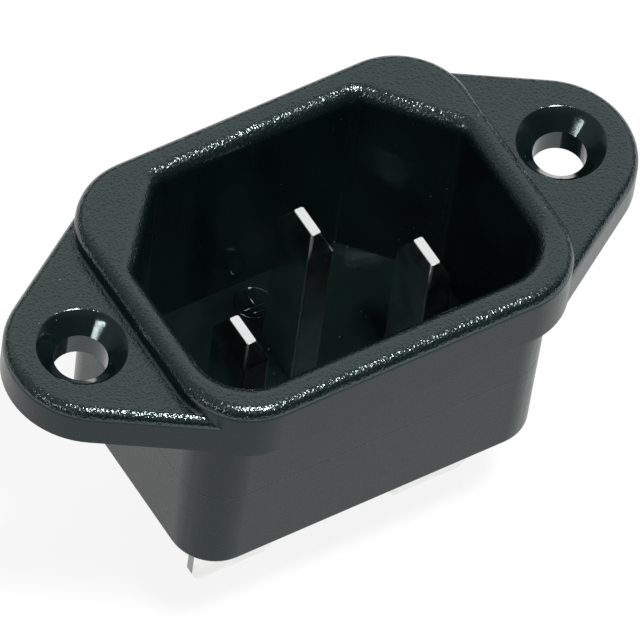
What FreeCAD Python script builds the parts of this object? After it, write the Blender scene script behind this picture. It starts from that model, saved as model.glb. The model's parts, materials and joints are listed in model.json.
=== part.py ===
"""Three-pin panel inlet socket, C14 pattern, for two countersunk screws.

Frame: millimetres, +Z out of the mouth, +X from the left screw hole to the
right one, +Y towards the two cut corners. The origin is midway between the
screw holes, in the plane where the flange bears on the panel.
"""
import FreeCAD, Part
import math
import os

Vector = FreeCAD.Vector

# Mouth and cavity that the mating connector enters
CAVITY_LENGTH = 24.5
CAVITY_WIDTH = 16.9
CAVITY_DEPTH = 15.95
CAVITY_DRAFT = 0.3
CUT_CORNER_X = 4.8
CUT_CORNER_Y = 5.4
CAVITY_ROUND = 3.3
CUT_CORNER_ROUND = 0.8
LIP_RADIUS = 1.05

# Collar round the mouth
COLLAR_END_WALL = 2.3
COLLAR_SIDE_WALL = 2.75
COLLAR_HEIGHT = 1.45
COLLAR_ROUND = 5.0
COLLAR_TOP_ROUND = 5.3
COLLAR_EDGE_RADIUS = 0.9

# Flange and its two screw ears
FLANGE_THICKNESS = 3.0
FLANGE_EDGE_RADIUS = 0.8
FLANGE_STRAIGHT = 21.3
FLANGE_SHOULDER_ROUND = 5.0
HOLE_PITCH = 36.4
EAR_RADIUS = 6.0
EAR_INSET = 1.0
SCREW_HOLE_RADIUS = 1.8
COUNTERSINK_RADIUS = 3.05
COUNTERSINK_ANGLE = 90.0

# Body behind the panel
BODY_END_WALL = 1.4
BODY_SIDE_WALL = 0.95
BODY_ROUND = 3.4
BODY_TAPER = 0.25
BODY_EDGE_RADIUS = 0.35
FLOOR_THICKNESS = 1.4
REAR_RECESS = 1.45
SKIRT_WALL = 1.1
RIB_THICKNESS = 1.0

# Contact pins
PIN_PITCH = 14.0
EARTH_OFFSET = 4.0
LINE_ROW_Y = -2.0
PIN_WIDTH = 4.0
PIN_THICKNESS = 2.0
PIN_RECESS = 4.1
EARTH_LEAD = 2.75
TIP_LENGTH = 1.5
TIP_FLAT_WIDTH = 2.4
TIP_FLAT_THICKNESS = 0.7
PIN_EDGE_BREAK = 0.12
RIVET_RADIUS = 1.0
RIVET_HEAD_RADIUS = 1.5
RIVET_HEAD_HEIGHT = 0.5

# Quick-connect tabs riveted to the pins
TAB_WIDTH = 6.3
TAB_THICKNESS = 0.8
TAB_LENGTH = 8.4
TAB_OFFSET = 2.7
TAB_SPREAD = 0.5
TAB_NECK = 0.9
TAB_CORNER_X = 0.65
TAB_CORNER_Z = 1.2
TAB_TIP_BEVEL = 0.9
TAB_TIP_THICKNESS = 0.4
TAB_SIDE_BEVEL = 0.55
TAB_SIDE_THICKNESS = 0.64
TAB_HOLE_RADIUS = 0.9
TAB_HOLE_FROM_TIP = 3.6
BASE_WIDTH = 4.4
BASE_BEND_RADIUS = 0.4

# Levels along Z and overall sizes that follow from the above
COLLAR_TOP = FLANGE_THICKNESS + COLLAR_HEIGHT
CAVITY_FLOOR = COLLAR_TOP - CAVITY_DEPTH
FLOOR_REAR = CAVITY_FLOOR - FLOOR_THICKNESS
BODY_REAR = FLOOR_REAR - REAR_RECESS
COLLAR_LENGTH = CAVITY_LENGTH + 2 * COLLAR_END_WALL
COLLAR_WIDTH = CAVITY_WIDTH + 2 * COLLAR_SIDE_WALL
BODY_LENGTH = CAVITY_LENGTH + 2 * BODY_END_WALL
BODY_WIDTH = CAVITY_WIDTH + 2 * BODY_SIDE_WALL


def arc_between(start, end, centre, radius):
    """Arc from start to end on its short side, about a centre."""
    middle = (start + end) * 0.5 - centre
    middle.normalize()
    return Part.Arc(start, centre + middle * radius, end).toShape()


def rounded_outline(corners, radii, z):
    """Closed wire through convex corners, each with its own round."""
    edges = []
    count = len(corners)
    starts = []
    ends = []
    centres = []
    for index in range(count):
        corner = Vector(*corners[index], z)
        before = Vector(*corners[index - 1], z) - corner
        after = Vector(*corners[(index + 1) % count], z) - corner
        before.normalize()
        after.normalize()
        half = before.getAngle(after) / 2
        along = radii[index] / math.tan(half)
        inward = before + after
        inward.normalize()
        starts.append(corner + before * along)
        ends.append(corner + after * along)
        centres.append(corner + inward * (radii[index] / math.sin(half)))
    for index in range(count):
        edges.append(arc_between(starts[index], ends[index], centres[index], radii[index]))
        edges.append(Part.makeLine(ends[index], starts[(index + 1) % count]))
    return Part.Wire(edges)


def rectangle_outline(length, width, near_round, far_round, z):
    """Rounded rectangle about the Z axis, with its own rounds at +Y."""
    x, y = length / 2, width / 2
    corners = [(-x, -y), (x, -y), (x, y), (-x, y)]
    return rounded_outline(corners, [near_round, near_round, far_round, far_round], z)


def cavity_outline(z):
    """Outline of the cavity: a rectangle with its two +Y corners cut off."""
    x, y = CAVITY_LENGTH / 2, CAVITY_WIDTH / 2
    corners = [
        (-x, -y),
        (x, -y),
        (x, y - CUT_CORNER_Y),
        (x - CUT_CORNER_X, y),
        (-x + CUT_CORNER_X, y),
        (-x, y - CUT_CORNER_Y),
    ]
    return rounded_outline(corners, [CAVITY_ROUND] * 2 + [CUT_CORNER_ROUND] * 4, z)


def flange_outline(z):
    """Long flange that narrows from its straight sides to two round ears."""
    x, y = FLANGE_STRAIGHT / 2, COLLAR_WIDTH / 2
    ear_x = HOLE_PITCH / 2 - EAR_INSET
    reach = math.hypot(ear_x - x, y)
    slope = math.asin(EAR_RADIUS / reach) - math.atan2(y, ear_x - x)
    # point where the slanting side touches the ear's round
    touch = (ear_x - EAR_RADIUS * math.sin(slope), EAR_RADIUS * math.cos(slope))
    corner = Vector(x, y, z)
    leave = Vector(touch[0], touch[1], z) - corner
    leave.normalize()
    half = (math.pi - Vector(1, 0, 0).getAngle(leave)) / 2
    along = FLANGE_SHOULDER_ROUND / math.tan(half)
    straight_end = Vector(x - along, y, z)
    slant_start = corner + leave * along
    centre = Vector(x - along, y - FLANGE_SHOULDER_ROUND, z)

    def place(point, sign_x, sign_y):
        return Vector(point.x * sign_x, point.y * sign_y, z)

    edges = []
    for sign_x, sign_y in ((1, 1), (1, -1), (-1, -1), (-1, 1)):
        shoulder = [place(point, sign_x, sign_y) for point in (straight_end, slant_start, centre)]
        edges.append(arc_between(*shoulder, FLANGE_SHOULDER_ROUND))
        edges.append(Part.makeLine(shoulder[1], place(Vector(*touch, z), sign_x, sign_y)))
    for side in (1, -1):
        ends = [place(Vector(*touch, z), side, sign_y) for sign_y in (1, -1)]
        tip = Vector(side * (ear_x + EAR_RADIUS), 0, z)
        edges.append(Part.Arc(ends[0], tip, ends[1]).toShape())
        straight = [place(straight_end, sign_x, side) for sign_x in (1, -1)]
        edges.append(Part.makeLine(*straight))
    return Part.Wire(Part.__sortEdges__(edges))


def prism(outline, height):
    """Solid raised from a closed outline along Z."""
    return Part.Face(outline).extrude(Vector(0, 0, height))


def edges_at(solid, z):
    """Edges of a solid that lie flat at one height."""
    found = []
    for edge in solid.Edges:
        box = edge.BoundBox
        if abs(box.ZMin - z) < 1e-6 and abs(box.ZMax - z) < 1e-6:
            found.append(edge)
    return found


def edges_along_x(solid, y, z):
    """Edges of a solid that run along X at one place."""
    found = []
    for edge in solid.Edges:
        box = edge.BoundBox
        thin = box.YLength < 1e-6 and box.ZLength < 1e-6
        if thin and abs(box.YMin - y) < 1e-6 and abs(box.ZMin - z) < 1e-6:
            found.append(edge)
    return found


def flange():
    """Flange plate with its front edge rounded over."""
    plate = prism(flange_outline(0), FLANGE_THICKNESS)
    return plate.makeFillet(FLANGE_EDGE_RADIUS, edges_at(plate, FLANGE_THICKNESS))


def collar():
    """Raised collar round the mouth, its outer edge and its lip rounded over."""
    outline = rectangle_outline(COLLAR_LENGTH, COLLAR_WIDTH, COLLAR_ROUND, COLLAR_TOP_ROUND, 0)
    block = prism(outline, COLLAR_TOP)
    block = block.makeFillet(COLLAR_EDGE_RADIUS, edges_at(block, COLLAR_TOP))
    block = block.cut(cavity_tool())
    lip = [edge for edge in edges_at(block, COLLAR_TOP) if is_on_mouth(edge)]
    return block.makeFillet(LIP_RADIUS, lip)


def body_outline(inset, z):
    """Section of the body behind the panel, at an inset from its front."""
    return rectangle_outline(
        BODY_LENGTH - 2 * inset,
        BODY_WIDTH - 2 * inset,
        BODY_ROUND - inset,
        BODY_ROUND - inset,
        z,
    )


def body():
    """Body that tapers slightly towards its rounded rear edge."""
    block = Part.makeLoft([body_outline(0, 0), body_outline(BODY_TAPER, BODY_REAR)], True, True)
    return block.makeFillet(BODY_EDGE_RADIUS, edges_at(block, BODY_REAR))


def cavity_tool():
    """Cavity for the mating connector's nose, with draft towards its mouth."""
    mouth = cavity_outline(COLLAR_TOP).makeOffset2D(CAVITY_DRAFT)
    return Part.makeLoft([cavity_outline(CAVITY_FLOOR), mouth], True, True)


def rear_recess_tool():
    """Recess in the rear that leaves a skirt and two ribs between the tabs."""
    outline = body_outline(BODY_TAPER + SKIRT_WALL, BODY_REAR)
    cutter = prism(outline, REAR_RECESS)
    for side in (-1, 1):
        rib = Part.makeBox(
            RIB_THICKNESS,
            BODY_WIDTH,
            REAR_RECESS,
            Vector(side * PIN_PITCH / 4 - RIB_THICKNESS / 2, -BODY_WIDTH / 2, BODY_REAR),
        )
        cutter = cutter.cut(rib)
    return cutter


def screw_hole_tool(x):
    """Clearance hole with a countersink for a flat-headed screw."""
    depth = (COUNTERSINK_RADIUS - SCREW_HOLE_RADIUS) / math.tan(math.radians(COUNTERSINK_ANGLE / 2))
    shaft = Part.makeCylinder(SCREW_HOLE_RADIUS, FLANGE_THICKNESS, Vector(x, 0, 0))
    sink = Part.makeCone(
        SCREW_HOLE_RADIUS,
        COUNTERSINK_RADIUS,
        depth,
        Vector(x, 0, FLANGE_THICKNESS - depth),
    )
    return shaft.fuse(sink)


def pin_places():
    """Name, centre and tip height of each contact pin."""
    line_tip = COLLAR_TOP - PIN_RECESS
    return {
        "line": (Vector(-PIN_PITCH / 2, LINE_ROW_Y, 0), line_tip),
        "neutral": (Vector(PIN_PITCH / 2, LINE_ROW_Y, 0), line_tip),
        "earth": (Vector(0, LINE_ROW_Y + EARTH_OFFSET, 0), line_tip + EARTH_LEAD),
    }


def pin_outline(thickness, width, z):
    """Corners of a pin's cross-section at height z, with its edges broken."""
    x, y = thickness / 2, width / 2
    corners = []
    for sign_x, sign_y in ((1, 1), (-1, 1), (-1, -1), (1, -1)):
        on_side = Vector(sign_x * x, sign_y * (y - PIN_EDGE_BREAK), z)
        on_end = Vector(sign_x * (x - PIN_EDGE_BREAK), sign_y * y, z)
        corners += [on_side, on_end] if sign_x == sign_y else [on_end, on_side]
    return corners


def closed_wire(corners):
    return Part.makePolygon(corners + corners[:1])


def pin_slot_tool(centre):
    """Slot through the cavity floor that grips a pin's shank."""
    outline = pin_outline(PIN_THICKNESS, PIN_WIDTH, FLOOR_REAR)
    slot = prism(closed_wire(outline), FLOOR_THICKNESS)
    slot.translate(centre)
    return slot


def housing():
    """Moulded housing: flange, collar, body, cavity, recess and holes in one."""
    solid = flange().fuse(body()).cut(cavity_tool())
    solid = solid.fuse(collar()).removeSplitter()
    cutters = [rear_recess_tool()]
    cutters += [screw_hole_tool(side * HOLE_PITCH / 2) for side in (-1, 1)]
    cutters += [pin_slot_tool(centre) for centre, tip in pin_places().values()]
    return solid.cut(cutters)


def is_on_mouth(edge):
    """True where an edge lies within the outline of the mouth."""
    box = edge.BoundBox
    inside_x = max(abs(box.XMin), abs(box.XMax)) < CAVITY_LENGTH / 2 + CAVITY_DRAFT + 1e-3
    inside_y = max(abs(box.YMin), abs(box.YMax)) < CAVITY_WIDTH / 2 + CAVITY_DRAFT + 1e-3
    return inside_x and inside_y


def tapered_block(lower, upper):
    """Flat-sided solid between two outlines that have the same number of corners."""
    faces = [Part.Face(closed_wire(lower)), Part.Face(closed_wire(upper))]
    for index in range(len(lower)):
        side = [lower[index - 1], lower[index], upper[index], upper[index - 1]]
        faces.append(Part.Face(closed_wire(side)))
    return Part.makeSolid(Part.makeShell(faces))


def contact_pin(centre, tip):
    """Flat pin with a four-sided taper at its tip and a riveted tail."""
    shank_top = tip - TIP_LENGTH
    foot = pin_outline(PIN_THICKNESS, PIN_WIDTH, FLOOR_REAR)
    shoulder = pin_outline(PIN_THICKNESS, PIN_WIDTH, shank_top)
    flat = pin_outline(TIP_FLAT_THICKNESS, TIP_FLAT_WIDTH, tip)
    shank = prism(closed_wire(foot), shank_top - FLOOR_REAR)
    point = tapered_block(shoulder, flat)
    tail_end = FLOOR_REAR - TAB_THICKNESS
    tail = Part.makeCylinder(RIVET_RADIUS, TAB_THICKNESS, Vector(0, 0, tail_end))
    head = Part.makeCone(
        RIVET_RADIUS,
        RIVET_HEAD_RADIUS,
        RIVET_HEAD_HEIGHT,
        Vector(0, 0, tail_end - RIVET_HEAD_HEIGHT),
    )
    pin = shank.fuse([point, tail, head]).removeSplitter()
    pin.translate(centre)
    return pin


def extruded(points, direction):
    """Solid from a closed polygon moved along a direction."""
    corners = [Vector(*point) for point in points]
    return Part.Face(Part.makePolygon(corners + corners[:1])).extrude(direction)


def tab_base():
    """Base plate on the rear of the floor, bent down at its outer end."""
    half = BASE_WIDTH / 2
    outer = TAB_OFFSET + TAB_THICKNESS / 2
    inner = outer - TAB_THICKNESS
    neck = -TAB_THICKNESS - TAB_NECK
    bar = extruded(
        [
            (-half, -half, 0),
            (-half, outer, 0),
            (-half, outer, neck),
            (-half, inner, neck),
            (-half, inner, -TAB_THICKNESS),
            (-half, -half, -TAB_THICKNESS),
        ],
        Vector(BASE_WIDTH, 0, 0),
    )
    inside_bend = edges_along_x(bar, inner, -TAB_THICKNESS)
    bar = bar.makeFillet(BASE_BEND_RADIUS, inside_bend)
    outside_bend = edges_along_x(bar, outer, 0)
    return bar.makeFillet(BASE_BEND_RADIUS + TAB_THICKNESS, outside_bend)


def tab_blade():
    """Blade of the tab: cut corners, bevelled tip and thinned side edges."""
    half = TAB_WIDTH / 2
    back = TAB_OFFSET - TAB_THICKNESS / 2
    front = TAB_OFFSET + TAB_THICKNESS / 2
    top = -TAB_THICKNESS - TAB_NECK
    tip = -TAB_THICKNESS - TAB_LENGTH
    tip_step = (TAB_THICKNESS - TAB_TIP_THICKNESS) / 2
    side_step = (TAB_THICKNESS - TAB_SIDE_THICKNESS) / 2
    face = extruded(
        [
            (-half, back, top),
            (half, back, top),
            (half, back, tip + TAB_CORNER_Z),
            (half - TAB_CORNER_X, back, tip),
            (-half + TAB_CORNER_X, back, tip),
            (-half, back, tip + TAB_CORNER_Z),
        ],
        Vector(0, TAB_THICKNESS, 0),
    )
    side = extruded(
        [
            (-half, back, top),
            (-half, back, tip + TAB_TIP_BEVEL),
            (-half, back + tip_step, tip),
            (-half, front - tip_step, tip),
            (-half, front, tip + TAB_TIP_BEVEL),
            (-half, front, top),
        ],
        Vector(TAB_WIDTH, 0, 0),
    )
    plan = extruded(
        [
            (-half, back + side_step, tip),
            (-half + TAB_SIDE_BEVEL, back, tip),
            (half - TAB_SIDE_BEVEL, back, tip),
            (half, back + side_step, tip),
            (half, front - side_step, tip),
            (half - TAB_SIDE_BEVEL, front, tip),
            (-half + TAB_SIDE_BEVEL, front, tip),
            (-half, front - side_step, tip),
        ],
        Vector(0, 0, top - tip),
    )
    hole = Part.makeCylinder(
        TAB_HOLE_RADIUS,
        TAB_THICKNESS,
        Vector(0, back, tip + TAB_HOLE_FROM_TIP),
        Vector(0, 1, 0),
    )
    return face.common(side).common(plan).cut(hole)


def connection_tab(centre):
    """Tab bracket: its base is riveted to a pin, its blade points backwards."""
    rivet_hole = Part.makeCylinder(RIVET_RADIUS, TAB_THICKNESS, Vector(0, 0, -TAB_THICKNESS))
    blade = tab_blade()
    if centre.x:
        # the two outer blades stand a little wider apart than their pins
        blade.translate(Vector(math.copysign(TAB_SPREAD, -centre.x), 0, 0))
    bracket = tab_base().cut(rivet_hole).fuse(blade).removeSplitter()
    if centre.y < 0:
        bracket.rotate(Vector(0, 0, 0), Vector(0, 0, 1), 180)
    bracket.translate(Vector(centre.x, centre.y, FLOOR_REAR))
    return bracket


def build():
    """Write each piece to its own file."""
    os.makedirs("parts", exist_ok=True)
    pieces = {"housing": housing()}
    for name, (centre, tip) in pin_places().items():
        pieces[name + "_pin"] = contact_pin(centre, tip)
        pieces[name + "_tab"] = connection_tab(centre)
    for name, shape in pieces.items():
        shape.exportStep("parts/" + name + ".step")


build()
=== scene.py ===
"""Finish of a screw-flange panel inlet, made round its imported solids.

Lengths are in metres, in the frame of the solids: +Z out of the mouth, +X from
the line contact to the neutral contact, +Y towards the two cut corners.
"""
import json
import math

import bmesh
import bpy
from bpy.props import FloatProperty, FloatVectorProperty, PointerProperty
from mathutils import Matrix, Vector

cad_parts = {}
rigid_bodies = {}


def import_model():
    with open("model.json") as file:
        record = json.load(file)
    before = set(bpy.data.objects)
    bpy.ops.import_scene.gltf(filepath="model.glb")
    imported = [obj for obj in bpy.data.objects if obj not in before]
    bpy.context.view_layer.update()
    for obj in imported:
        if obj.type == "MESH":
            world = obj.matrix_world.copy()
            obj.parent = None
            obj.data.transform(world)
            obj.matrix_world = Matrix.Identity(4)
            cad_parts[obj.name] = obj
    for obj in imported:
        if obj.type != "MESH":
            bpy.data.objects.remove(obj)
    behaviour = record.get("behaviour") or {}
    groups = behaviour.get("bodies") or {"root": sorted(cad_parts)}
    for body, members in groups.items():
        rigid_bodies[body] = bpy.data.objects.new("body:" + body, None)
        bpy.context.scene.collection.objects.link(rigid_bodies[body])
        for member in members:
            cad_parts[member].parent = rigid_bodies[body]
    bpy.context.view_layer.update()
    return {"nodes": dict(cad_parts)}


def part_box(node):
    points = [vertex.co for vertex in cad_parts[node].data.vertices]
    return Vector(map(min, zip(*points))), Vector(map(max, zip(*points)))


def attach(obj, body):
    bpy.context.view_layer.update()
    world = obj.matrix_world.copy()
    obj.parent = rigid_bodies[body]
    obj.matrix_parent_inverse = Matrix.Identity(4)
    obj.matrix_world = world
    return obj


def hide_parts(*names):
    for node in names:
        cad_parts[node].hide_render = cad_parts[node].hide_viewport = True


bl_info = {
    "name": "Panel Inlet Finish",
    "version": (1, 0, 0),
    "blender": (4, 5, 0),
    "location": "3D View > Sidebar > Inlet",
    "description": "Dresses a moulded panel inlet, its contacts and its tabs",
    "category": "Object",
}

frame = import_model()
MM = 0.001
CONTACTS = ("line", "neutral", "earth")

# Levels that the solids give
COLLAR_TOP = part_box("housing")[1].z
TAB_LOW, TAB_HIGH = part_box("line_tab")
FLOOR_REAR = TAB_HIGH.z

# Sizes that the housing's faces and edges are found by
FLANGE_TOP = 3.0 * MM
CAVITY_FLOOR = COLLAR_TOP - 15.95 * MM
CAVITY_HALF_LENGTH = 12.25 * MM
CAVITY_HALF_WIDTH = 8.45 * MM
CAVITY_DRAFT = 0.3 * MM
LIP_RADIUS = 1.05 * MM
HOLE_X = 18.2 * MM
SINK_RADIUS = 3.05 * MM
FOOT_FROM = 10.0 * MM  # the collar's foot stands on the flange beyond this X
NEAR = 0.02 * MM  # places that are this close count as one
SEAT_DEPTH = 0.2 * MM  # the tabs' edges stay sharp this close to their seat
UPRIGHT = 0.25  # a face whose normal rises less than this is upright
FACING = 0.7  # a face whose normal has more than this along an axis faces that way

# Material slots of the housing, and of the tabs' edge strips and sides, which carry a painted dark
# reflection
GRAINED, SATIN, POLISHED = range(3)
PAINTED_DARK_SLOT = 1

# Welding, bevelling and smoothing
WELD_DISTANCE = 0.002 * MM
FLAT_ANGLE = math.radians(0.4)
SHARP_ANGLE = math.radians(25)
SMOOTH_ANGLE = math.radians(32)
SIGN_SMOOTH_ANGLE = math.radians(40)
FLAT_FACE_WEIGHT = 60


# ---------------------------------------------------------------- settings


def number(name, description, default, **more):
    """A plain number."""
    return FloatProperty(name=name, description=description, default=default, **more)


def length(name, description, default):
    """A length, kept in metres."""
    return number(name, description, default, unit="LENGTH", precision=5)


def angle(name, description, degrees):
    """An angle, given in degrees and kept in radians."""
    return number(name, description, math.radians(degrees), unit="ROTATION")


def colour(name, description, default):
    """A colour."""
    return FloatVectorProperty(
        name=name, description=description, default=default, subtype="COLOR", min=0, max=1
    )


class MouldingSettings(bpy.types.PropertyGroup):
    """Sizes and colours of the moulded housing, and its three finishes."""

    tone: colour("Plastic", "Colour of the moulding compound", (0.0035, 0.0095, 0.0088))
    gloss_tone: colour("Gloss", "Tint of the plastic's gloss", (0.82, 1.0, 1.0))
    dust_tone: colour("Dust", "Colour of the dust", (0.35, 0.36, 0.34))
    dust_spacing: length("Dust spacing", "Width of a cell that may hold a speck", 0.6 * MM)
    cloud_size: length("Cloud size", "Width of the faint clouds in the surface", 4.5 * MM)

    grain_size: length("Grain size", "Width of one spark-eroded crater", 0.15 * MM)
    grain_depth: length("Grain depth", "Depth of the spark-eroded craters", 0.045 * MM)
    grain_roughness: number("Grain roughness", "Roughness of the grained faces", 0.22)
    grain_glint: number(
        "Grain glint", "How much smoother the grain's crests are than its pits", 0.22
    )
    grain_gloss: number("Grain gloss", "Strength of the grained faces' gloss", 0.90)
    grain_dust: number("Grain dust", "Share of the cells that hold a speck in front", 0.09)

    body_depth: length("Body depth", "Depth of the grain behind the flange", 0.006 * MM)
    body_roughness: number("Body roughness", "Roughness of the faces behind the flange", 0.27)
    body_gloss: number("Body gloss", "Strength of the gloss behind the flange", 0.28)
    body_dust: number("Body dust", "Share of the cells that hold a speck behind", 0.012)

    core_depth: length("Core depth", "Depth of the polished faces' grain", 0.001 * MM)
    core_roughness: number("Core roughness", "Roughness of the polished faces", 0.10)
    core_gloss: number("Core gloss", "Strength of the polished faces' gloss", 0.62)
    core_dust: number("Core dust", "Share of the cells that hold a speck in the mouth", 0.30)
    # Painted shade: the polished faces of the cavity and countersinks take the plastic's colour
    # darkened by this factor
    core_haze: number("Core haze", "Lightness of the polished faces' colour", 0.8)
    core_mottle: number("Core mottle", "Spread of the polished faces' colour", 0.3)

    rim_break: length("Rim break", "Edge break round the countersinks", 0.10 * MM)
    foot_round: length("Foot round", "Fillet where the collar stands on the flange", 0.20 * MM)
    witness_height: length("Witness line", "Level of the line at the tool's split", -7.0 * MM)
    witness_width: length("Witness width", "Width of that line", 0.10 * MM)


class PlatingSettings(bpy.types.PropertyGroup):
    """Sizes and colours of the plated metal."""

    contact_tone: colour("Contact plate", "Colour of the plate on the contacts", (0.90, 0.92, 0.91))
    tab_tone: colour("Tab plate", "Colour of the plate on the tabs", (0.93, 0.93, 0.92))
    # Painted reflection: the tabs' bevel strips and their faces that face across X or down take
    # this dark colour
    edge_tone: colour("Tab edges", "Colour of the tabs' sheared edges", (0.26, 0.26, 0.25))
    contact_roughness: number("Contact roughness", "Roughness of the contacts' plate", 0.12)
    tab_roughness: number("Tab roughness", "Roughness of the tabs' plate", 0.16)
    contact_break: length("Contact break", "Edge break of the polished contacts", 0.05 * MM)
    edge_break: length("Tab break", "Edge break left by stamping the tabs", 0.08 * MM)
    line_size: length("Rolled lines", "Width of one line of the rolled strip", 0.09 * MM)
    line_depth: length("Line depth", "Depth of the rolled lines", 0.0012 * MM)
    cloud_size: length("Plate clouds", "Width of the faint clouds in the plate", 1.6 * MM)


class SignSettings(bpy.types.PropertyGroup):
    """Sizes of the raised earth sign."""

    relief: length("Relief", "How far the sign stands proud", 0.10 * MM)
    stroke: length("Stroke", "Width of the strokes", 0.16 * MM)
    earth_radius: length("Earth ring", "Radius of the ring of the earth sign", 1.25 * MM)
    earth_y: length("Earth place", "Place of the earth sign along Y", 6.6 * MM)


class StudioSettings(bpy.types.PropertyGroup):
    """Lamps, room, floor and camera."""

    key_power: number("Key lamp", "Power of the overhead softbox", 4.1, unit="POWER")
    strip_power: number("Strip lamp", "Power of the side strip", 0.42, unit="POWER")
    room: number("Room", "Brightness of the room's lit parts", 0.28)
    gloom: number("Gloom", "Brightness of the room's dark parts", 0.05)
    backdrop: number("Backdrop", "Brightness that the pale backdrop adds", 0.56)
    glow: number("Floor glow", "Share of the floor that shows as plain white", 0.88)
    floor_tone: colour("Floor", "Colour of the floor", (0.93, 0.93, 0.93))
    floor_size: length("Floor size", "Length of the floor's sides", 4.0)
    azimuth: angle("Azimuth", "Turn of the camera", -37.2966)
    elevation: angle("Elevation", "Height of the camera", 53.2596)
    roll: angle("Roll", "Roll of the camera", 8.2562)
    distance: length("Distance", "Distance of the camera", 1.25)
    lens: number("Lens", "Focal length in millimetres", 1078.1)
    aim_right: length("Aim across", "Sideways offset of the camera", 0.058 * MM)
    aim_up: length("Aim up", "Upward offset of the camera", -3.174 * MM)


# ------------------------------------------------------------ mesh handling


def activate(piece):
    """Makes one object the only one selected."""
    for other in bpy.context.view_layer.objects:
        other.select_set(False)
    piece.select_set(True)
    bpy.context.view_layer.objects.active = piece


def merged_copy(solid, name):
    """A welded copy of a solid, with its flat faces made whole."""
    mesh = frame["nodes"][solid].data.copy()
    mesh.name = name
    mesh.materials.clear()
    piece = bpy.data.objects.new(name, mesh)
    bpy.context.scene.collection.objects.link(piece)
    activate(piece)
    bpy.ops.object.mode_set(mode="EDIT")
    bpy.ops.mesh.select_all(action="SELECT")
    bpy.ops.mesh.customdata_custom_splitnormals_clear()
    bpy.ops.mesh.remove_doubles(threshold=WELD_DISTANCE)
    bpy.ops.mesh.dissolve_limited(angle_limit=FLAT_ANGLE)
    bpy.ops.object.mode_set(mode="OBJECT")
    if len(mesh.polygons) == 0:
        raise RuntimeError(solid + " has no faces to copy")
    return piece


def bevel_where(piece, test, width, segments=2, slot=-1):
    """Bevels the sharp edges that pass a test, in a material slot of their own if given."""
    activate(piece)
    bpy.ops.object.mode_set(mode="EDIT")
    bpy.ops.mesh.select_mode(type="EDGE")
    bpy.ops.mesh.select_all(action="DESELECT")
    mesh = bmesh.from_edit_mesh(piece.data)
    count = 0
    for edge in mesh.edges:
        if edge.is_manifold and edge.calc_face_angle() >= SHARP_ANGLE and test(edge):
            edge.select_set(True)
            count += 1
    bmesh.update_edit_mesh(piece.data)
    if count:
        bpy.ops.mesh.bevel(
            offset=width,
            offset_type="OFFSET",
            segments=segments,
            profile=0.5,
            affect="EDGES",
            clamp_overlap=True,
            material=slot,
        )
    bpy.ops.object.mode_set(mode="OBJECT")
    if count == 0:
        raise RuntimeError(piece.name + ": no edge found to break")


def smooth_finish(piece):
    """Smooths the rounds and keeps the flats flat."""
    activate(piece)
    bpy.ops.object.shade_smooth_by_angle(angle=SMOOTH_ANGLE)
    weighted = piece.modifiers.new("Weighted Normals", "WEIGHTED_NORMAL")
    weighted.mode = "FACE_AREA"
    weighted.weight = FLAT_FACE_WEIGHT
    weighted.keep_sharp = True
    bpy.ops.object.modifier_apply(modifier=weighted.name)


def middle(edge):
    """Middle of an edge."""
    return (edge.verts[0].co + edge.verts[1].co) / 2


def hole_distance(point):
    """Distance of a point from the nearer screw hole's axis."""
    return math.hypot(abs(point.x) - HOLE_X, point.y)


# ------------------------------------------------------------- shader nodes

RISING = (0.0, 1.0)
FALLING = (1.0, 0.0)

# Sockets of a Mix node for colours
MIX_INPUTS = (0, 6, 7)
MIX_RESULT = 2


def node(tree, kind, **values):
    """A node with its properties set."""
    made = tree.nodes.new(kind)
    for key, value in values.items():
        setattr(made, key, value)
    return made


def feed(tree, socket, value):
    """Feeds an input from a socket or with a plain value."""
    if isinstance(value, bpy.types.NodeSocket):
        tree.links.new(value, socket)
    else:
        socket.default_value = value


def math_node(tree, operation, first, second=None, clamp=False):
    """A Math node fed by sockets or plain numbers."""
    made = node(tree, "ShaderNodeMath", operation=operation, use_clamp=clamp)
    feed(tree, made.inputs[0], first)
    if second is not None:
        feed(tree, made.inputs[1], second)
    return made.outputs[0]


def times(tree, first, second):
    """The product of two sockets or numbers."""
    return math_node(tree, "MULTIPLY", first, second)


def plus(tree, first, second):
    """The sum of two sockets or numbers."""
    return math_node(tree, "ADD", first, second)


def ramp(tree, value, span, ends=RISING):
    """A clamped straight ramp over a span of values, from one end to the other."""
    made = node(tree, "ShaderNodeMapRange")
    limits = (*span, *ends)
    for label, limit in zip(("From Min", "From Max", "To Min", "To Max"), limits):
        made.inputs[label].default_value = limit
    tree.links.new(value, made.inputs["Value"])
    return made.outputs[0]


def mix_colour(tree, factor, first, second):
    """A Mix node for colours, fed by sockets or plain colours."""
    made = node(tree, "ShaderNodeMix", data_type="RGBA")
    for index, value in zip(MIX_INPUTS, (factor, first, second)):
        feed(tree, made.inputs[index], value)
    return made.outputs[MIX_RESULT]


def texture(tree, kind, vector, numbers, **values):
    """A texture node with its numbers and properties set."""
    made = node(tree, kind, **values)
    for key, value in numbers.items():
        made.inputs[key].default_value = value
    tree.links.new(vector, made.inputs["Vector"])
    return made


def noise(tree, vector, scale, detail, roughness):
    """Noise from 0 to 1."""
    numbers = {"Scale": scale, "Detail": detail, "Roughness": roughness}
    return texture(tree, "ShaderNodeTexNoise", vector, numbers).outputs["Fac"]


# ------------------------------------------------------------ shader groups


def new_group(name, *numbers):
    """A shader group that takes coordinates and numbers.

    Gives the group, its inputs, and the coordinates divided by the first number.
    """
    group = bpy.data.node_groups.new(name, "ShaderNodeTree")
    group.interface.new_socket("Vector", in_out="INPUT", socket_type="NodeSocketVector")
    for label in numbers:
        group.interface.new_socket(label, in_out="INPUT", socket_type="NodeSocketFloat")
    given = node(group, "NodeGroupInput").outputs
    spot = node(group, "ShaderNodeVectorMath", operation="SCALE")
    group.links.new(given["Vector"], spot.inputs[0])
    group.links.new(math_node(group, "DIVIDE", 1.0, given[numbers[0]]), spot.inputs["Scale"])
    return group, given, spot.outputs[0]


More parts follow.
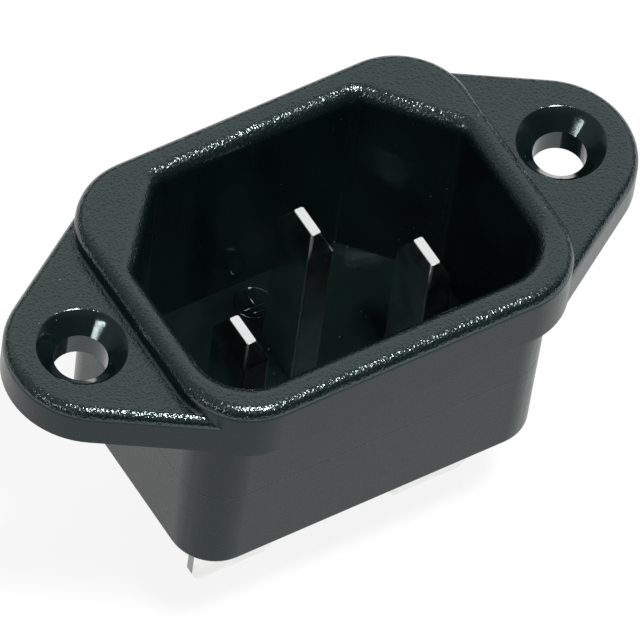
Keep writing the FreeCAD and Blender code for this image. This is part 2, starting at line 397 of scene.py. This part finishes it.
def ended(group, **results):
    """The group, with its results put out under their names."""
    for label in results:
        group.interface.new_socket(label, in_out="OUTPUT", socket_type="NodeSocketFloat")
    put = node(group, "NodeGroupOutput")
    for label, value in results.items():
        group.links.new(value, put.inputs[label])
    return group


def spark_grain(name):
    """Craters of a spark-eroded tool face: their height, and a mask of their pits."""
    fine_share = 0.6
    crater_share = 0.4
    group, _, spot = new_group(name, "Size")
    fine = noise(group, spot, scale=1.0, detail=1.5, roughness=0.55)
    numbers = {"Scale": 0.8, "Smoothness": 0.6}
    cells = texture(group, "ShaderNodeTexVoronoi", spot, numbers, feature="SMOOTH_F1")
    crater = ramp(group, cells.outputs["Distance"], (0.0, 0.75))
    height = plus(group, times(group, fine, fine_share), times(group, crater, crater_share))
    return ended(group, Height=height, Pits=ramp(group, fine, (0.36, 0.50), FALLING))


def dust_specks(name):
    """A mask of dust: round specks of several sizes, in a given share of the cells."""
    smallest = 0.025
    spread = 0.05
    group, given, spot = new_group(name, "Spacing", "Share")
    cells = texture(group, "ShaderNodeTexVoronoi", spot, {"Scale": 1.0}, feature="F1")
    chance = node(group, "ShaderNodeSeparateColor")
    group.links.new(cells.outputs["Color"], chance.inputs[0])
    kept = math_node(group, "LESS_THAN", chance.outputs[0], given["Share"])
    radius = plus(group, times(group, chance.outputs[1], spread), smallest)
    inside = math_node(group, "LESS_THAN", cells.outputs["Distance"], radius)
    return ended(group, Mask=times(group, kept, inside))


def soft_clouds(name):
    """Broad and fine clouds, faint as handling and the melt's flow leave them."""
    span = (0.30, 0.70)
    group, _, spot = new_group(name, "Size")
    broad = noise(group, spot, scale=1.0, detail=3.0, roughness=0.55)
    fine = noise(group, spot, scale=9.0, detail=2.0, roughness=0.6)
    return ended(group, Broad=ramp(group, broad, span), Fine=ramp(group, fine, span))


def rolled_lines(name):
    """Fine lines of rolled strip, drawn out along Z, and the wear of its plate."""
    squeeze = (1.0, 1.0, 0.06)
    group, _, spot = new_group(name, "Size")
    drawn = node(group, "ShaderNodeVectorMath", operation="MULTIPLY")
    drawn.inputs[1].default_value = squeeze
    group.links.new(spot, drawn.inputs[0])
    height = noise(group, drawn.outputs[0], scale=1.0, detail=2.0, roughness=0.6)
    wear = noise(group, spot, scale=0.05, detail=3.0, roughness=0.6)
    return ended(group, Height=height, Wear=ramp(group, wear, (0.35, 0.70)))


# ---------------------------------------------------------------- materials

PAINTED_PIT_COVER = 0.30  # how far the painted shade in the grain's pits shows
PAINTED_PIT_SHADE = 0.55  # how dark that painted shade is
DUST_COVER = 0.55  # how far the dust's colour shows
MOULDED_WEAR = (-0.02, 0.03)  # spread of the moulding's roughness
PLATE_WEAR = (0.0, 0.10)  # spread of the plate's roughness
PLATE_SHADES = (0.93, 1.03)  # darkest and lightest plate
WITNESS_RELIEF = 4.0  # height of the witness line, in heights of the grain


def placed(tree, maker, vector, **values):
    """Outputs of a group node, its group built the first time that it is used."""
    name = maker.__name__.replace("_", " ").title()
    made = node(tree, "ShaderNodeGroup", label=name)
    made.node_tree = bpy.data.node_groups.get(name) or maker(name)
    tree.links.new(vector, made.inputs["Vector"])
    for key, value in values.items():
        made.inputs[key].default_value = value
    return made.outputs


def new_material(name):
    """A material with its shader and its object coordinates."""
    material = bpy.data.materials.new(name)
    material.use_nodes = True
    tree = material.node_tree
    coordinates = node(tree, "ShaderNodeTexCoord", label="Own coordinates")
    return material, tree, tree.nodes["Principled BSDF"], coordinates.outputs["Object"]


def shade(tone, factor):
    """A colour made lighter or darker, with full alpha."""
    return tuple(min(1.0, channel * factor) for channel in tone) + (1.0,)


def raise_surface(tree, shader, height, depth):
    """Feeds a height into the shader's normal, where 1 stands for a depth in metres."""
    bump = node(tree, "ShaderNodeBump")
    bump.inputs["Distance"].default_value = depth
    tree.links.new(height, bump.inputs["Height"])
    tree.links.new(bump.outputs[0], shader.inputs["Normal"])


def with_witness(tree, spot, height, witness):
    """The height, with the fine line that the tool's split leaves at one level."""
    level, width = witness
    split = node(tree, "ShaderNodeSeparateXYZ")
    tree.links.new(spot, split.inputs[0])
    away = math_node(tree, "ABSOLUTE", math_node(tree, "SUBTRACT", split.outputs["Z"], level))
    line = ramp(tree, away, (0.0, width / 2), FALLING)
    return plus(tree, height, times(tree, line, WITNESS_RELIEF))


def moulding_material(
    name, depth, roughness, gloss, dust, glint=0.0, painted_shade=1.0, mottle=0.08, witness=None
):
    """Moulded plastic: grained or polished, with a little dust, painted shade in the grain's pits,
    and a painted shade factor on its colour.
    """
    settings = bpy.context.scene.inlet_moulding
    # The colour scaled by painted_shade: a painted shade, darker on the polished faces of the
    # cavity and countersinks
    tone = [channel * painted_shade for channel in settings.tone]
    material, tree, shader, spot = new_material(name)
    grain = placed(tree, spark_grain, spot, Size=settings.grain_size)
    clouds = placed(tree, soft_clouds, spot, Size=settings.cloud_size)
    specks = placed(tree, dust_specks, spot, Spacing=settings.dust_spacing, Share=dust)

    cloudy = mix_colour(tree, clouds["Broad"], shade(tone, 1 - mottle), shade(tone, 1 + mottle))
    # Painted shade: the grain's pits, its low spots, take a darker copy of the plastic's colour
    pit_shaded = mix_colour(
        tree, times(tree, grain["Pits"], PAINTED_PIT_COVER), cloudy, shade(tone, PAINTED_PIT_SHADE)
    )
    dusty = mix_colour(
        tree, times(tree, specks["Mask"], DUST_COVER), pit_shaded, (*settings.dust_tone, 1)
    )
    tree.links.new(dusty, shader.inputs["Base Color"])

    worn = ramp(tree, clouds["Fine"], RISING, [roughness + wear for wear in MOULDED_WEAR])
    glinting = times(tree, math_node(tree, "SUBTRACT", grain["Pits"], 0.5), glint)
    tree.links.new(plus(tree, worn, glinting), shader.inputs["Roughness"])
    shader.inputs["Specular IOR Level"].default_value = gloss
    shader.inputs["Specular Tint"].default_value = (*settings.gloss_tone, 1)

    height = grain["Height"]
    if witness:
        height = with_witness(tree, spot, height, witness)
    raise_surface(tree, shader, height, depth)
    return material


def plating_material(name, tone, roughness):
    """Bright plate over rolled strip."""
    settings = bpy.context.scene.inlet_plating
    material, tree, shader, spot = new_material(name)
    lines = placed(tree, rolled_lines, spot, Size=settings.line_size)
    clouds = placed(tree, soft_clouds, spot, Size=settings.cloud_size)
    dark, light = [shade(tone, factor) for factor in PLATE_SHADES]
    tree.links.new(mix_colour(tree, clouds["Broad"], dark, light), shader.inputs["Base Color"])
    shader.inputs["Metallic"].default_value = 1.0
    worn = ramp(tree, lines["Wear"], RISING, [roughness + wear for wear in PLATE_WEAR])
    tree.links.new(worn, shader.inputs["Roughness"])
    raise_surface(tree, shader, lines["Height"], settings.line_depth)
    return material


# ---------------------------------------------------------------- operators


class INLET_OT_housing(bpy.types.Operator):
    """Make the moulded housing's skin, with broken edges and its finishes"""

    bl_idname = "inlet.housing"
    bl_label = "Moulded Housing"

    def execute(self, context):
        settings = context.scene.inlet_moulding
        skin = merged_copy("housing", "moulded_housing")
        self.break_edges(skin, settings)
        smooth_finish(skin)
        for material in self.finishes(settings):
            skin.data.materials.append(material)
        for face in skin.data.polygons:
            face.material_index = self.finish_at(skin, face)
        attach(skin, "root")
        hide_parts("housing")
        return {"FINISHED"}

    @staticmethod
    def break_edges(skin, settings):
        """Rounds the countersinks' rims and the corner at the collar's foot."""

        def on_sink_rim(edge):
            spot = middle(edge)
            return abs(spot.z - FLANGE_TOP) < NEAR and hole_distance(spot) < SINK_RADIUS + NEAR

        def on_collar_foot(edge):
            spot = middle(edge)
            level = all(abs(vertex.co.z - FLANGE_TOP) < NEAR for vertex in edge.verts)
            return level and abs(spot.x) > FOOT_FROM and hole_distance(spot) > SINK_RADIUS + NEAR

        bevel_where(skin, on_sink_rim, settings.rim_break)
        bevel_where(skin, on_collar_foot, settings.foot_round, segments=3)

    @staticmethod
    def finishes(settings):
        """The housing's three materials, in the order of their slots."""
        return (
            moulding_material(
                "grained_shell",
                settings.grain_depth,
                settings.grain_roughness,
                settings.grain_gloss,
                settings.grain_dust,
                glint=settings.grain_glint,
            ),
            moulding_material(
                "satin_body",
                settings.body_depth,
                settings.body_roughness,
                settings.body_gloss,
                settings.body_dust,
                witness=(settings.witness_height, settings.witness_width),
            ),
            moulding_material(
                "polished_core",
                settings.core_depth,
                settings.core_roughness,
                settings.core_gloss,
                settings.core_dust,
                painted_shade=settings.core_haze,
                mottle=settings.core_mottle,
            ),
        )

    @staticmethod
    def finish_at(skin, face):
        """The slot of the finish that a face has."""
        spot = face.center
        reach = CAVITY_DRAFT + NEAR
        in_mouth = (
            abs(spot.x) < CAVITY_HALF_LENGTH + reach
            and abs(spot.y) < CAVITY_HALF_WIDTH + reach
            and CAVITY_FLOOR - NEAR < spot.z < COLLAR_TOP - LIP_RADIUS + NEAR
        )
        if in_mouth and face.normal.x * spot.x + face.normal.y * spot.y < NEAR:
            return POLISHED
        corners = [skin.data.vertices[index].co for index in face.vertices]
        if all(
            corner.z > -NEAR and hole_distance(corner) < SINK_RADIUS + NEAR for corner in corners
        ):
            return POLISHED
        return SATIN if spot.z < -NEAR or face.normal.z < UPRIGHT else GRAINED


class INLET_OT_contacts(bpy.types.Operator):
    """Break the edges of the three contact pins and plate them"""

    bl_idname = "inlet.contacts"
    bl_label = "Contact Pins"

    def execute(self, context):
        settings = context.scene.inlet_plating
        plate = plating_material(
            "contact_plate", settings.contact_tone, settings.contact_roughness
        )
        for name in CONTACTS:
            pin = merged_copy(name + "_pin", name + "_contact")
            bevel_where(pin, self.is_in_cavity, settings.contact_break)
            smooth_finish(pin)
            pin.data.materials.append(plate)
            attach(pin, "root")
            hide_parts(name + "_pin")
        return {"FINISHED"}

    @staticmethod
    def is_in_cavity(edge):
        """True for an edge that stands above the cavity's floor."""
        return middle(edge).z > CAVITY_FLOOR


class INLET_OT_tabs(bpy.types.Operator):
    """Break the edges of the three quick-connect tabs and plate them, with a painted dark
    reflection on their edge strips and sides
    """

    bl_idname = "inlet.tabs"
    bl_label = "Connection Tabs"

    def execute(self, context):
        settings = context.scene.inlet_plating
        plate = plating_material("tab_plate", settings.tab_tone, settings.tab_roughness)
        # A dark copy of the plate: a painted dark reflection on the tabs' edge strips and sides
        painted_dark = plating_material("tab_edge", settings.edge_tone, settings.tab_roughness)
        for name in CONTACTS:
            tab = merged_copy(name + "_tab", name + "_blade")
            tab.data.materials.append(plate)
            tab.data.materials.append(painted_dark)
            bevel_where(tab, self.is_off_its_seat, settings.edge_break, slot=PAINTED_DARK_SLOT)
            smooth_finish(tab)
            # Painted reflection: the faces that face across X or down take the dark colour too
            for face in tab.data.polygons:
                if abs(face.normal.x) > FACING or face.normal.z < -FACING:
                    face.material_index = PAINTED_DARK_SLOT
            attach(tab, "root")
            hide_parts(name + "_tab")
        return {"FINISHED"}

    @staticmethod
    def is_off_its_seat(edge):
        """True for an edge that lies behind the face that seats on the floor."""
        return middle(edge).z < FLOOR_REAR - SEAT_DEPTH


# The earth sign's parts, in shares of its ring's radius
SIGN_DROP = 0.25  # from the ring's middle to the long bar
SIGN_BARS = ((0.0, 1.45), (0.36, 0.75))  # drop below the long bar, and length
BAR_BREAK = 0.3  # edge break of a bar, as a share of its smallest side


def bar(place, size):
    """A small bar with softened edges, placed by its middle."""
    bpy.ops.mesh.primitive_cube_add(size=1, location=place)
    piece = bpy.context.object
    piece.scale = size
    bpy.ops.object.transform_apply(location=True, rotation=True, scale=True)
    bpy.ops.object.mode_set(mode="EDIT")
    bpy.ops.mesh.select_all(action="SELECT")
    bpy.ops.mesh.bevel(offset=min(size) * BAR_BREAK, segments=2, affect="EDGES")
    bpy.ops.object.mode_set(mode="OBJECT")
    return piece


def earth_sign(name, centre, radius, stroke, relief):
    """The earth sign in a ring, half sunk in the face that it stands on."""
    height = 2 * relief
    bpy.ops.mesh.primitive_torus_add(
        major_radius=radius,
        minor_radius=stroke / 2,
        major_segments=64,
        minor_segments=12,
        location=centre,
    )
    ring = bpy.context.object
    activate(ring)
    bpy.ops.object.mode_set(mode="EDIT")
    bpy.ops.mesh.select_all(action="SELECT")
    bpy.ops.transform.resize(value=(1, 1, height / stroke), center_override=centre)
    bpy.ops.object.mode_set(mode="OBJECT")
    bpy.ops.object.transform_apply(location=True, rotation=True, scale=True)
    x, y, z = centre
    low = y - SIGN_DROP * radius
    parts = [ring, bar((x, (low + y + radius) / 2, z), (stroke, y + radius - low, height))]
    for drop, reach in SIGN_BARS:
        parts.append(bar((x, low - drop * radius, z), (reach * radius, stroke, height)))
    for part in bpy.context.view_layer.objects:
        part.select_set(part in parts)
    bpy.context.view_layer.objects.active = ring
    bpy.ops.object.join()
    ring.name = name
    ring.data.name = name
    return ring


class INLET_OT_cavity_sign(bpy.types.Operator):
    """Raise the earth sign on the floor of the cavity"""

    bl_idname = "inlet.cavity_sign"
    bl_label = "Cavity Sign"

    def execute(self, context):
        settings = context.scene.inlet_sign
        place = (0.0, settings.earth_y, CAVITY_FLOOR)
        sign = earth_sign(
            "cavity_earth_sign", place, settings.earth_radius, settings.stroke, settings.relief
        )
        sign.data.materials.append(bpy.data.materials["polished_core"])
        bpy.ops.object.shade_smooth_by_angle(angle=SIGN_SMOOTH_ANGLE)
        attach(sign, "root")
        return {"FINISHED"}


# Each lamp's name, middle and size, and the setting that holds its power
LAMPS = (
    ("key_softbox", (0.044, -0.184, 0.615), (0.13, 0.09), "key_power"),
    ("side_strip", (-0.50, -0.135, 0.345), (0.22, 0.03), "strip_power"),
)

# Spans over which the room's ceiling, walls and backdrop fade in, and the backdrop's top
# fades out, as parts of a unit direction: heights along Z, and depths along Y or, for
# the backdrop, along its bearing in X and Y
CEILING_HEIGHTS = (0.55, 0.85)
WALL_HEIGHTS = (0.15, 0.40)
WALL_DEPTHS = (-0.55, 0.0)
BACKDROP_HEIGHTS = (0.2, 0.45)
BACKDROP_TOP = (0.83, 0.90)
BACKDROP_DEPTHS = (0.15, 0.5)
BACKDROP_BEARING = (0.6, 0.8)

# The camera's fixed values: its sensor in millimetres, and what it clips in metres
SENSOR_WIDTH = 36
CLIP_START = 0.1
CLIP_END = 10


class INLET_OT_stage(bpy.types.Operator):
    """Set the floor, the lamps, the room and the camera"""

    bl_idname = "inlet.stage"
    bl_label = "Studio Stage"

    def execute(self, context):
        settings = context.scene.inlet_studio
        self.add_floor(settings)
        for name, place, size, power in LAMPS:
            self.add_lamp(name, place, size, getattr(settings, power))
        self.add_room(context.scene, settings)
        self.add_camera(context.scene, settings)
        context.scene.view_settings.view_transform = "Standard"
        return {"FINISHED"}

    @staticmethod
    def add_floor(settings):
        """A pale floor at the height that the tabs stand on."""
        bpy.ops.mesh.primitive_plane_add(size=settings.floor_size, location=(0, 0, TAB_LOW.z))
        floor = bpy.context.object
        floor.name = "studio_floor"
        material, tree, shader, _ = new_material("studio_floor")
        shader.inputs["Base Color"].default_value = (*settings.floor_tone, 1)
        shader.inputs["Roughness"].default_value = 1.0
        shader.inputs["Specular IOR Level"].default_value = 0.0
        path = node(tree, "ShaderNodeLightPath").outputs
        seen = plus(tree, path["Is Camera Ray"], path["Is Glossy Ray"])
        seen = math_node(tree, "ADD", seen, path["Is Transmission Ray"], clamp=True)
        white = node(tree, "ShaderNodeEmission")
        mixed = node(tree, "ShaderNodeMixShader")
        tree.links.new(times(tree, seen, settings.glow), mixed.inputs[0])
        tree.links.new(shader.outputs[0], mixed.inputs[1])
        tree.links.new(white.outputs[0], mixed.inputs[2])
        tree.links.new(mixed.outputs[0], tree.nodes["Material Output"].inputs["Surface"])
        floor.data.materials.append(material)

    @staticmethod
    def add_lamp(name, place, size, power):
        """A rectangular lamp that faces the object."""
        bpy.ops.object.light_add(type="AREA", location=place)
        lamp = bpy.context.object
        lamp.name = name
        lamp.rotation_euler = (-Vector(place)).to_track_quat("-Z", "Y").to_euler()
        lamp.data.shape = "RECTANGLE"
        lamp.data.size, lamp.data.size_y = size
        lamp.data.energy = power

    @staticmethod
    def add_room(scene, settings):
        """A room with a pale ceiling and walls, dark in front, and a backdrop behind."""
        world = bpy.data.worlds.new("studio_room")
        scene.world = world
        world.use_nodes = True
        tree = world.node_tree
        background = tree.nodes["Background"]
        direction = node(tree, "ShaderNodeTexCoord")
        split = node(tree, "ShaderNodeSeparateXYZ")
        tree.links.new(direction.outputs["Generated"], split.inputs[0])
        across, along, height = split.outputs

        walls = times(tree, ramp(tree, along, WALL_DEPTHS), ramp(tree, height, WALL_HEIGHTS))
        lit = math_node(tree, "MAXIMUM", ramp(tree, height, CEILING_HEIGHTS), walls)
        room = plus(tree, times(tree, lit, settings.room), settings.gloom)
        bearing_x, bearing_y = BACKDROP_BEARING
        behind = plus(tree, times(tree, across, bearing_x), times(tree, along, bearing_y))
        top = ramp(tree, height, BACKDROP_TOP, FALLING)
        card = times(tree, ramp(tree, behind, BACKDROP_DEPTHS), top)
        card = times(tree, card, ramp(tree, height, BACKDROP_HEIGHTS))
        level = plus(tree, room, times(tree, card, settings.backdrop))
        background.inputs["Color"].default_value = (1, 1, 1, 1)
        tree.links.new(level, background.inputs["Strength"])

    @staticmethod
    def add_camera(scene, settings):
        """A long lens, turned, raised and rolled as the settings say."""
        turn, rise, roll = settings.azimuth, settings.elevation, settings.roll
        level = math.cos(rise)
        back = Vector((math.sin(turn) * level, -math.cos(turn) * level, math.sin(rise)))
        right = Vector((math.cos(turn), math.sin(turn), 0))
        up = back.cross(right)
        across = math.cos(roll) * right + math.sin(roll) * up
        upward = -math.sin(roll) * right + math.cos(roll) * up
        place = back * settings.distance + across * settings.aim_right + upward * settings.aim_up
        turned = Matrix((across, upward, back)).transposed().to_4x4()
        bpy.ops.object.camera_add()
        camera = bpy.context.object
        camera.name = "studio_camera"
        camera.matrix_world = Matrix.Translation(place) @ turned
        camera.data.sensor_width = SENSOR_WIDTH
        camera.data.lens = settings.lens
        camera.data.clip_start = CLIP_START
        camera.data.clip_end = CLIP_END
        scene.camera = camera


# --------------------------------------------------------- panel and running


class INLET_PT_panel(bpy.types.Panel):
    """The inlet's pieces and their settings"""

    bl_label = "Panel Inlet"
    bl_idname = "INLET_PT_panel"
    bl_space_type = "VIEW_3D"
    bl_region_type = "UI"
    bl_category = "Inlet"

    def draw(self, context):
        for name, group, operators in SECTIONS:
            box = self.layout.box()
            for key in group.__annotations__:
                box.prop(getattr(context.scene, name), key)
            for operator in operators:
                box.operator(operator.bl_idname)


# Each group of settings, with the operators that it serves
SECTIONS = (
    ("inlet_moulding", MouldingSettings, (INLET_OT_housing,)),
    ("inlet_plating", PlatingSettings, (INLET_OT_contacts, INLET_OT_tabs)),
    ("inlet_sign", SignSettings, (INLET_OT_cavity_sign,)),
    ("inlet_studio", StudioSettings, (INLET_OT_stage,)),
)


def register():
    """Adds the settings, the operators and the panel to Blender."""
    for name, group, operators in SECTIONS:
        bpy.utils.register_class(group)
        setattr(bpy.types.Scene, name, PointerProperty(type=group))
        for operator in operators:
            bpy.utils.register_class(operator)
    bpy.utils.register_class(INLET_PT_panel)


def unregister():
    """Takes the panel, the operators and the settings out again."""
    bpy.utils.unregister_class(INLET_PT_panel)
    for name, group, operators in reversed(SECTIONS):
        for operator in reversed(operators):
            bpy.utils.unregister_class(operator)
        delattr(bpy.types.Scene, name)
        bpy.utils.unregister_class(group)


def main():
    """Builds every piece in order."""
    register()
    bpy.ops.inlet.housing()
    bpy.ops.inlet.contacts()
    bpy.ops.inlet.tabs()
    bpy.ops.inlet.cavity_sign()
    bpy.ops.inlet.stage()


if __name__ == "__main__":
    main()
